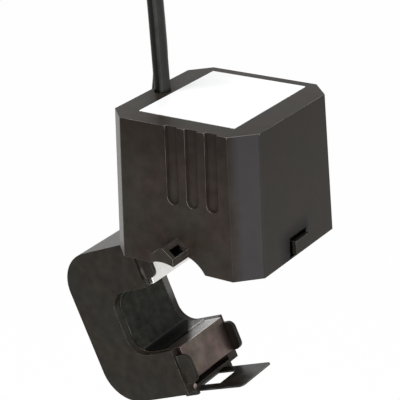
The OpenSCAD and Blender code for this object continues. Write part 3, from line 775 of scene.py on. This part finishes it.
def plain_plastic(name, low, high, rough, size=200.0, gloss=0.5):
    """Even plastic or lacquer with a faint cloud and a fine skin."""
    f = Finish(name)
    cloud = f.noise(size, 3.0)
    f.set("Base Color", f.blend(cloud, low, high))
    f.set("Roughness", rough + (cloud - 0.5) * 0.12)
    f.set("Specular IOR Level", gloss)
    f.bump(f.noise(size * 8, 2.0), SKIN_DEPTH, 0.4)
    return f.material


def jacket_finish(highlight_angle, lit_side_angle):
    """Dark jacket with a painted lit side and a painted highlight line, each at its own angle round
    the lead.
    """
    f = Finish("lead jacket")
    cos_a = f.node("ShaderNodeAttribute", {"attribute_name": "side_cos"}, {}, "Fac")
    sin_a = f.node("ShaderNodeAttribute", {"attribute_name": "side_sin"}, {}, "Fac")
    toward = cos_a * math.cos(lit_side_angle) + sin_a * math.sin(lit_side_angle)
    on_highlight = cos_a * math.cos(highlight_angle) + sin_a * math.sin(highlight_angle)
    cloud = f.fade(f.noise(210.0, 4.0), 0.3, 0.7)
    # painted light: dark is the shaded side's colour, pale the lit side's
    dark = f.blend(cloud, (0.0025, 0.0026, 0.002), (0.0065, 0.0066, 0.0055))
    pale = f.blend(cloud, (0.013, 0.0135, 0.0125), (0.022, 0.0225, 0.0205))
    colour = f.blend(f.fade(toward, -0.4, 0.0), dark, pale)
    # painted highlight: a thin pale line along the lead
    highlight_line = f.fade(on_highlight, 0.95, 0.995) * (0.1 + cloud * 0.5)
    colour = f.blend(highlight_line, colour, (0.065, 0.067, 0.063))
    f.set("Base Color", colour)
    f.set("Roughness", 0.42 + (cloud - 0.5) * 0.12)
    f.set("Specular IOR Level", 0.12)
    f.bump(f.noise(1400.0, 2.0), SKIN_DEPTH, 0.4)
    return f.material


jacket_plastic = jacket_finish(HIGHLIGHT_AT, LIT_SIDE_AT)
print(jacket_plastic.name, "nodes:", len(jacket_plastic.node_tree.nodes))

# %% [markdown]
# ## Wound wire
# The winding is about a thousand turns of enamelled wire as thin as a hair. Turns that fine are a
# pattern and not a shape, so a wave of narrow bands gives both their colour and their bump.

# %% Wound wire
WIRE_DEPTH = 0.00008


def wound_wire(name, low, high):
    """Thin turns round the bobbin: waves along X."""
    f = Finish(name)
    turns = f.node("ShaderNodeTexWave", {"wave_type": "BANDS", "bands_direction": "X"},
                   {"Vector": f.place, "Scale": 900.0, "Distortion": 0.6, "Detail": 1.0}, "Fac")
    f.set("Base Color", f.blend(turns, low, high))
    f.set("Metallic", 0.85)
    f.set("Roughness", 0.3 + turns * 0.1)
    f.bump(turns, WIRE_DEPTH, 0.8)
    return f.material


winding_wire = wound_wire("winding wire", (0.36, 0.12, 0.04), (0.72, 0.32, 0.14))
print(winding_wire.name, "nodes:", len(winding_wire.node_tree.nodes))

# %% [markdown]
# ## Dressing the pieces
# The model's record says which material each piece is made of. One table turns those names into
# finishes, so that a piece added to the model later finds its finish by itself.

# %% Dressing the pieces
finishes = {
    "housing_plastic": housing_plastic,
    "jaw_plastic": jaw_plastic,
    "liner": liner_plastic,
    "label": label_film,
    "core": core_iron,
    "steel": ground_metal("pin steel", (0.62, 0.62, 0.63), (0.45, 0.44, 0.43), 0.3),
    "copper": winding_wire,
    "tape": plain_plastic("amber tape", (0.5, 0.3, 0.06), (0.62, 0.4, 0.1), 0.3, 120.0),
    "bobbin": plain_plastic("bobbin nylon", (0.7, 0.64, 0.5), (0.78, 0.73, 0.6), 0.45),
    "board": plain_plastic("board lacquer", (0.01, 0.09, 0.045), (0.02, 0.14, 0.07), 0.3),
    "resistor": plain_plastic("resistor lacquer", (0.5, 0.38, 0.2), (0.62, 0.5, 0.3), 0.35),
    "jacket": jacket_plastic,
    "clamp": plain_plastic("nylon black", (0.01, 0.01, 0.011), (0.02, 0.02, 0.022), 0.4),
    "wire_black": plain_plastic("wire black", (0.012, 0.012, 0.013), (0.02, 0.02, 0.02), 0.35),
    "wire_white": plain_plastic("wire white", (0.76, 0.76, 0.74), (0.84, 0.84, 0.82), 0.4),
    "pin": ground_metal("pin head metal", (0.5, 0.4, 0.37), (0.3, 0.23, 0.21), 0.42),
    "tin": ground_metal("tinned strand", (0.7, 0.7, 0.69), (0.55, 0.54, 0.52), 0.28),
}


def dress(piece, slot):
    """Gives a piece the finish of a slot."""
    piece.data.materials.clear()
    piece.data.materials.append(finishes[slot])


for part in frame["record"]["subparts"]:
    dress(frame["nodes"][part["node"]], part["material_slot"])
dress(lead, "jacket")
print("finishes:", len(finishes))

# %% [markdown]
# ## Soft edges
# No moulded or ground edge is a perfect corner: a small radius catches the light as a thin line,
# and that line is what tells the eye that a part is plastic of a real size. The exact solids have
# sharp corners, so each one that shows is copied, its loose triangles are joined and flattened,
# and a Bevel modifier rounds the corners that are sharper than a chosen angle. Its new faces take
# the pale edge finish, partly wear and partly a painted highlight, and weighted normals keep the
# large faces flat beside them.

# %% Rounded copies
SHARP = math.radians(26.0)
JOIN_WITHIN = 2e-6
FLAT_WITHIN = math.radians(0.4)
LUG_FROM, LUG_TO, LUG_WEIGHT = -0.0333, -0.027, 0.4
# how far each piece's corners are rounded, in millimetres
ROUNDED = {"housing_shell": 0.28, "jaw_shell": 0.2, "latch_plate": 0.1, "base_plate": 0.15,
           "jaw_core": 0.12, "upper_core": 0.12, "window_liner": 0.15}


def rounded(node, width):
    """A copy of a CAD node with its outer corners rounded by width metres, inner ones left sharp;
    where y is between LUG_FROM and LUG_TO, round the tie lug's slot, they get under half."""
    source = frame["nodes"][node]
    slot = next(p["material_slot"] for p in frame["record"]["subparts"] if p["node"] == node)
    mesh = source.data.copy()
    work = bmesh.new()
    work.from_mesh(mesh)
    bmesh.ops.remove_doubles(work, verts=work.verts, dist=JOIN_WITHIN)
    bmesh.ops.dissolve_limit(work, angle_limit=FLAT_WITHIN, use_dissolve_boundaries=False,
                             verts=work.verts, edges=work.edges)
    weight = work.edges.layers.float.new("bevel_weight_edge")
    for edge in work.edges:
        turn = edge.calc_face_angle_signed(0.0)
        middle = (edge.verts[0].co.y + edge.verts[1].co.y) / 2
        full = LUG_WEIGHT if LUG_FROM < middle < LUG_TO else 1.0
        edge[weight] = full if turn > SHARP else 0.0
        edge.smooth = turn > -SHARP
    work.to_mesh(mesh)
    work.free()
    piece = bpy.data.objects.new(node + "_rounded", mesh)
    bpy.context.collection.objects.link(piece)
    dress(piece, slot)
    bevel = piece.modifiers.new("edges", "BEVEL")
    bevel.width = width
    bevel.segments = 2
    bevel.limit_method = "WEIGHT"
    if slot in edges:
        piece.data.materials.append(edges[slot])
        bevel.material = 1
    smooth_shade(piece)
    weigh = piece.modifiers.new("flat faces stay flat", "WEIGHTED_NORMAL")
    weigh.mode = "FACE_AREA"
    weigh.weight = 100
    weigh.keep_sharp = True
    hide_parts(node)
    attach(piece, source["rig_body"])
    return piece


for node, width in ROUNDED.items():
    piece = rounded(node, width * MM)
    print(piece.name, "faces", len(piece.data.polygons))

# %% [markdown]
# ## The pin's head
# The latch plate's root is held by a small pin whose domed head shows beside the near ear. A dome
# is a quarter of an ellipse turned about an axis: one parameter runs from the crown to the rim, the
# other goes round. It stands just a tenth of a millimetre proud, because the shut housing passes
# close over it. It is small, but it is the only bright point there, so the eye looks for it.

# %% Pin head
PIN_AT = np.array([-8.0, -9.7, -42.67]) * MM
PIN_RADIUS, PIN_HIGH, PIN_SINK = 0.8 * MM, 0.11 * MM, 0.3 * MM


def dome(name, place, axis, radius, high, sink, rings=7, sides=24):
    """Ring k has radius r sin t and height h cos t; the last one is let in by sink metres."""
    t = np.linspace(0.15, np.pi / 2, rings)
    out = np.append(radius * np.sin(t), radius)
    up = np.append(high * np.cos(t), -sink)
    axis = np.asarray(axis, float) / np.linalg.norm(axis)
    side = np.cross(axis, [0.0, 1.0, 0.0])
    side /= np.linalg.norm(side)
    other = np.cross(axis, side)
    a = np.linspace(0, 2 * np.pi, sides, endpoint=False)[None, :, None]
    points = (np.asarray(place) + up[:, None, None] * axis
              + out[:, None, None] * (np.cos(a) * side + np.sin(a) * other))
    faces = [[f[0], f[3], f[2], f[1]] for f in tube_faces(rings + 1, sides)]
    faces.append(list(range(sides)))
    faces.append([rings * sides + k for k in range(sides)][::-1])
    piece = make_piece(name, points.reshape(-1, 3), faces)
    smooth_shade(piece)
    return piece


pin_head = dome("pin_head", PIN_AT, (JAW_X, 0.0, JAW_Z), PIN_RADIUS, PIN_HIGH, PIN_SINK)
dress(pin_head, "pin")
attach(pin_head, "jaw")
low, high = np.array(pin_head.bound_box).min(0), np.array(pin_head.bound_box).max(0)
print("pin head size, mm:", ((high - low) / MM).round(2).tolist())

# %% [markdown]
# ## Floor and surround
# A bare white surround gives even light from all sides. A world shader can tell rays that come
# straight from the camera, or from a mirror-like or clear surface, from the rays that only gather
# light. So the surround shows plain white where it is seen, and gives the part a calmer level.
# The floor lies well below the part, which hangs by its conductor; it does the same, but lets a
# little of its own shading through, so the soft shadow stays.

# %% Surround and floor
SURROUND_LEVEL = 0.6
FLOOR_DROP, FLOOR_SIZE, FLOOR_SHARE = 0.1, 6.0, 0.95


def seen_or_lit(tree, seen, lit, share):
    """Mixes two shaders: the first for rays that show the surface, the second for the rest."""
    rays = [add_node(tree, "ShaderNodeLightPath", {}, {}, name)
            for name in ("Is Camera Ray", "Is Glossy Ray", "Is Transmission Ray")]
    return add_node(tree, "ShaderNodeMixShader", {}, {"Fac": sum(rays) * share, 1: lit, 2: seen})


def make_world(level):
    """White where it is seen, and a grey of the given level for the light that it gives."""
    world = bpy.data.worlds.new("surround")
    world.use_nodes = True
    bpy.context.scene.world = world
    tree = world.node_tree
    tree.nodes.clear()
    seen = add_node(tree, "ShaderNodeBackground", {}, {"Color": (1, 1, 1, 1)})
    lit = add_node(tree, "ShaderNodeBackground", {}, {"Color": (level, level, level, 1)})
    add_node(tree, "ShaderNodeOutputWorld", {}, {"Surface": seen_or_lit(tree, seen, lit, 1.0)})


def make_floor(drop, size):
    """A square floor below the part."""
    z = cad_low[2] - drop
    corners = np.array([[-1, -1], [1, -1], [1, 1], [-1, 1]]) * size / 2
    floor = make_piece("floor", np.column_stack([corners, np.full(4, z)]), [[0, 1, 2, 3]])
    material = bpy.data.materials.new("floor paint")
    material.use_nodes = True
    tree = material.node_tree
    tree.nodes.clear()
    paint = add_node(tree, "ShaderNodeBsdfDiffuse", {}, {"Color": (0.9, 0.9, 0.9, 1)})
    white = add_node(tree, "ShaderNodeEmission", {}, {})
    shown = seen_or_lit(tree, white, paint, FLOOR_SHARE)
    add_node(tree, "ShaderNodeOutputMaterial", {}, {"Surface": shown})
    floor.data.materials.append(material)
    return floor


make_world(SURROUND_LEVEL)
floor = make_floor(FLOOR_DROP, FLOOR_SIZE)
print("floor at z =", round(floor.data.vertices[0].co.z, 4), "m")

# %% [markdown]
# ## Lamps
# Two large soft lamps give the faces different shades, so the block reads as a solid: one high on
# the left lights the roof, and one low on the right lights the flat between the front and the
# latch side. They are far larger than the part, so no hard shadow falls.

# %% Lamps


def softbox(name, place, aim, size, power, tint=(1, 1, 1)):
    """A square lamp that faces the point it is aimed at."""
    data = bpy.data.lights.new(name, "AREA")
    data.shape = "SQUARE"
    data.size = size
    data.energy = power
    data.color = tint
    lamp = bpy.data.objects.new(name, data)
    lamp.location = place
    toward = Vector(aim) - Vector(place)
    lamp.rotation_mode = "QUATERNION"
    lamp.rotation_quaternion = toward.to_track_quat("-Z", "Y")
    bpy.context.collection.objects.link(lamp)
    print(name, "lamp:", power, "W,", round(toward.length, 2), "m away")


softbox("key", (-0.3, -0.5, 1.1), (0, 0, 0), 0.6, 7.5)
softbox("flat", (0.72, -0.5, 0.25), (0, 0, 0.02), 0.4, 6.0, (0.97, 0.98, 1.0))
bpy.context.scene.view_settings.view_transform = "Standard"

# %% [markdown]
# ## The end
